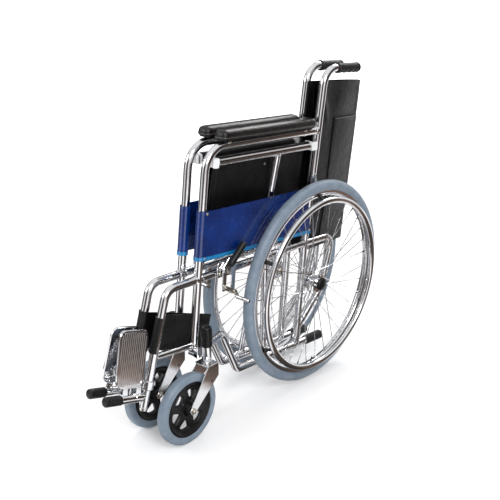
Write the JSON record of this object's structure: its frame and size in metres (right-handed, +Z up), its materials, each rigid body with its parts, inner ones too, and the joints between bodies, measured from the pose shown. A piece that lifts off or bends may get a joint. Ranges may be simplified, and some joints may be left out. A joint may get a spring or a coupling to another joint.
{
  "type": "manual wheelchair",
  "caption": "Folding self-propelled wheelchair with pushing rims, swivelling front casters, fixed armrests, flip-up footplates, side guards and a cross brace, shown folded flat.",
  "frame": {"origin": "on the ground under the middle of the folded chair, bottom centre of its bounding box", "axes": "+Z up, -Y towards the footplates (front), +X towards the occupant's left"},
  "size_m": [0.2334, 1.0728, 0.9241],
  "materials": {
    "chrome": "bright chrome plating",
    "aluminium": "ribbed cast aluminium",
    "black_vinyl": "black leatherette",
    "black_plastic": "black moulded plastic and rubber",
    "blue_panel": "glossy deep blue",
    "grey_tyre": "grey solid rubber",
    "white_nylon": "white nylon"
  },
  "bodies": {
    "right_frame": {"right_cane": "chrome", "right_front_frame": "chrome", "right_side_rail": "chrome", "right_hanger": "chrome", "right_lower_rail": "chrome", "right_caster_cap": "black_plastic", "right_rear_loop": "chrome", "right_push_grip": "black_plastic", "right_arm_pad": "black_vinyl", "right_skirt_guard": "blue_panel", "right_tip_cap": "black_plastic", "right_footrest_tube": "chrome", "right_brake_bracket": "chrome"},
    "left_frame": {"left_cane": "chrome", "left_front_frame": "chrome", "left_side_rail": "chrome", "left_hanger": "chrome", "left_lower_rail": "chrome", "left_caster_cap": "black_plastic", "left_rear_loop": "chrome", "left_push_grip": "black_plastic", "left_arm_pad": "black_vinyl", "left_skirt_guard": "blue_panel", "left_tip_cap": "black_plastic", "left_footrest_tube": "chrome", "left_brake_bracket": "chrome"},
    "left_cross_brace": {"left_brace": "chrome"},
    "left_seat_guides": {"left_seat_guide_front": "white_nylon", "left_seat_guide_rear": "white_nylon"},
    "left_seat": {"left_seat_panel": "black_vinyl"},
    "left_back": {"left_back_panel": "black_vinyl"},
    "left_calf_rest": {"left_calf_strap": "black_vinyl"},
    "left_foot_support": {"left_footplate": "aluminium"},
    "left_rear_wheel": {"left_rear_tyre": "grey_tyre", "left_rear_rim": "chrome", "left_rear_hub": "chrome", "left_hub_cap": "black_plastic", "left_handrim": "chrome"},
    "left_caster_swivel": {"left_caster_fork": "chrome"},
    "left_caster_wheel": {"left_caster_tyre": "grey_tyre", "left_caster_hub": "black_plastic"},
    "left_brake_handle": {"left_brake_lever": "black_plastic"},
    "left_brake_arm": {"left_brake_shoe": "chrome"},
    "right_cross_brace": {"right_brace": "chrome"},
    "right_seat_guides": {"right_seat_guide_front": "white_nylon", "right_seat_guide_rear": "white_nylon"},
    "right_seat": {"right_seat_panel": "black_vinyl"},
    "right_back": {"right_back_panel": "black_vinyl"},
    "right_calf_rest": {"right_calf_strap": "black_vinyl"},
    "right_foot_support": {"right_footplate": "aluminium"},
    "right_rear_wheel": {"right_rear_tyre": "grey_tyre", "right_rear_rim": "chrome", "right_rear_hub": "chrome", "right_hub_cap": "black_plastic", "right_handrim": "chrome"},
    "right_caster_swivel": {"right_caster_fork": "chrome"},
    "right_caster_wheel": {"right_caster_tyre": "grey_tyre", "right_caster_hub": "black_plastic"},
    "right_brake_handle": {"right_brake_lever": "black_plastic"},
    "right_brake_arm": {"right_brake_shoe": "chrome"}
  },
  "joints": [
    {"name": "fold", "type": "hinge", "parent": "right_frame", "child": "left_cross_brace", "pos_m": [-0.0299, 0.03, 0.10571], "axis": [0, 0.997, -0.0776], "range_deg": [0, 41.2]},
    {"name": "cross_pivot", "type": "hinge", "parent": "left_cross_brace", "child": "right_cross_brace", "pos_m": [0, 0.08266, 0.40854], "axis": [0, 0.997, -0.0776], "range_deg": [-82.41, 0]},
    {"name": "left_lower_pivot", "type": "hinge", "parent": "right_cross_brace", "child": "left_frame", "pos_m": [0.0299, 0.05692, 0.10362], "axis": [0, 0.997, -0.0776], "range_deg": [0, 41.21]},
    {"name": "left_guide_pivot", "type": "hinge", "parent": "left_cross_brace", "child": "left_seat_guides", "pos_m": [0.0299, 0.05356, 0.71773], "axis": [0, 0.997, -0.0776], "range_deg": [-41.21, 0]},
    {"name": "left_seat_fold", "type": "hinge", "parent": "left_cross_brace", "child": "left_seat", "pos_m": [0.0299, 0.05356, 0.71773], "axis": [0, 0.997, -0.0776], "range_deg": [0, 43.39]},
    {"name": "left_back_fold", "type": "hinge", "parent": "left_frame", "child": "left_back", "pos_m": [0.0299, 0.2368, 0.40056], "axis": [0, 0.1399, 0.9902], "range_deg": [0, 82.6]},
    {"name": "left_calf_fold", "type": "hinge", "parent": "left_frame", "child": "left_calf_rest", "pos_m": [0.0299, -0.39524, 0.18996], "axis": [0, 0.2882, 0.9576], "range_deg": [0, 85.17]},
    {"name": "left_footplate_swing", "type": "hinge", "parent": "left_frame", "child": "left_foot_support", "pos_m": [0.0299, -0.40072, 0.17177], "axis": [0, 0.9576, -0.2882], "range_deg": [-84.51, 0]},
    {"name": "right_guide_pivot", "type": "hinge", "parent": "right_cross_brace", "child": "right_seat_guides", "pos_m": [-0.0299, 0.05356, 0.71773], "axis": [0, 0.997, -0.0776], "range_deg": [0, 41.21]},
    {"name": "right_seat_fold", "type": "hinge", "parent": "right_cross_brace", "child": "right_seat", "pos_m": [-0.0299, 0.05356, 0.71773], "axis": [0, 0.997, -0.0776], "range_deg": [-43.39, 0]},
    {"name": "right_back_fold", "type": "hinge", "parent": "right_frame", "child": "right_back", "pos_m": [-0.0299, 0.2368, 0.40056], "axis": [0, 0.1399, 0.9902], "range_deg": [-82.6, 0]},
    {"name": "right_calf_fold", "type": "hinge", "parent": "right_frame", "child": "right_calf_rest", "pos_m": [-0.0299, -0.39524, 0.18996], "axis": [0, 0.2882, 0.9576], "range_deg": [-85.17, 0]},
    {"name": "right_footplate_swing", "type": "hinge", "parent": "right_frame", "child": "right_foot_support", "pos_m": [-0.0299, -0.40072, 0.17177], "axis": [0, 0.9576, -0.2882], "range_deg": [0, 84.51]},
    {"name": "left_wheel_spin", "type": "hinge", "parent": "left_frame", "child": "left_rear_wheel", "pos_m": [0.0756, 0.2314, 0.305], "axis": [1, 0, 0], "continuous": true},
    {"name": "left_caster_turn", "type": "hinge", "parent": "left_frame", "child": "left_caster_swivel", "pos_m": [0.0631, -0.2116, 0.206], "axis": [0, 0, 1], "range_deg": [0, 180]},
    {"name": "left_caster_spin", "type": "hinge", "parent": "left_caster_swivel", "child": "left_caster_wheel", "pos_m": [0.0631, -0.2864, 0.1], "axis": [1, 0, 0], "continuous": true},
    {"name": "left_brake_swing", "type": "hinge", "parent": "left_frame", "child": "left_brake_handle", "pos_m": [0.049, -0.12646, 0.44086], "axis": [1, 0, 0], "range_deg": [0, 50]},
    {"name": "left_brake_arm_swing", "type": "hinge", "parent": "left_frame", "child": "left_brake_arm", "pos_m": [0.053, -0.09094, 0.36889], "axis": [1, 0, 0], "range_deg": [-25.01, 0]},
    {"name": "right_wheel_spin", "type": "hinge", "parent": "right_frame", "child": "right_rear_wheel", "pos_m": [-0.0756, 0.2314, 0.305], "axis": [1, 0, 0], "continuous": true},
    {"name": "right_caster_turn", "type": "hinge", "parent": "right_frame", "child": "right_caster_swivel", "pos_m": [-0.0631, -0.2116, 0.206], "axis": [0, 0, -1], "range_deg": [0, 180]},
    {"name": "right_caster_spin", "type": "hinge", "parent": "right_caster_swivel", "child": "right_caster_wheel", "pos_m": [-0.0631, -0.2864, 0.1], "axis": [1, 0, 0], "continuous": true},
    {"name": "right_brake_swing", "type": "hinge", "parent": "right_frame", "child": "right_brake_handle", "pos_m": [-0.049, -0.12646, 0.44086], "axis": [1, 0, 0], "range_deg": [0, 50]},
    {"name": "right_brake_arm_swing", "type": "hinge", "parent": "right_frame", "child": "right_brake_arm", "pos_m": [-0.053, -0.09094, 0.36889], "axis": [1, 0, 0], "range_deg": [-25.01, 0]}
  ],
  "couplings": [
    {"joint": "cross_pivot", "follows": "fold", "ratio": -2},
    {"joint": "left_lower_pivot", "follows": "fold", "ratio": 1},
    {"joint": "left_guide_pivot", "follows": "fold", "ratio": -1},
    {"joint": "left_seat_fold", "follows": "fold", "ratio": 1.0528},
    {"joint": "left_back_fold", "follows": "fold", "ratio": 2.0047},
    {"joint": "left_calf_fold", "follows": "fold", "ratio": 2.0669},
    {"joint": "left_footplate_swing", "follows": "fold", "ratio": -2.051},
    {"joint": "right_guide_pivot", "follows": "fold", "ratio": 1},
    {"joint": "right_seat_fold", "follows": "fold", "ratio": -1.0528},
    {"joint": "right_back_fold", "follows": "fold", "ratio": -2.0047},
    {"joint": "right_calf_fold", "follows": "fold", "ratio": -2.0669},
    {"joint": "right_footplate_swing", "follows": "fold", "ratio": 2.051},
    {"joint": "left_brake_arm_swing", "follows": "left_brake_swing", "ratio": -0.5},
    {"joint": "right_brake_arm_swing", "follows": "right_brake_swing", "ratio": -0.5}
  ]
}
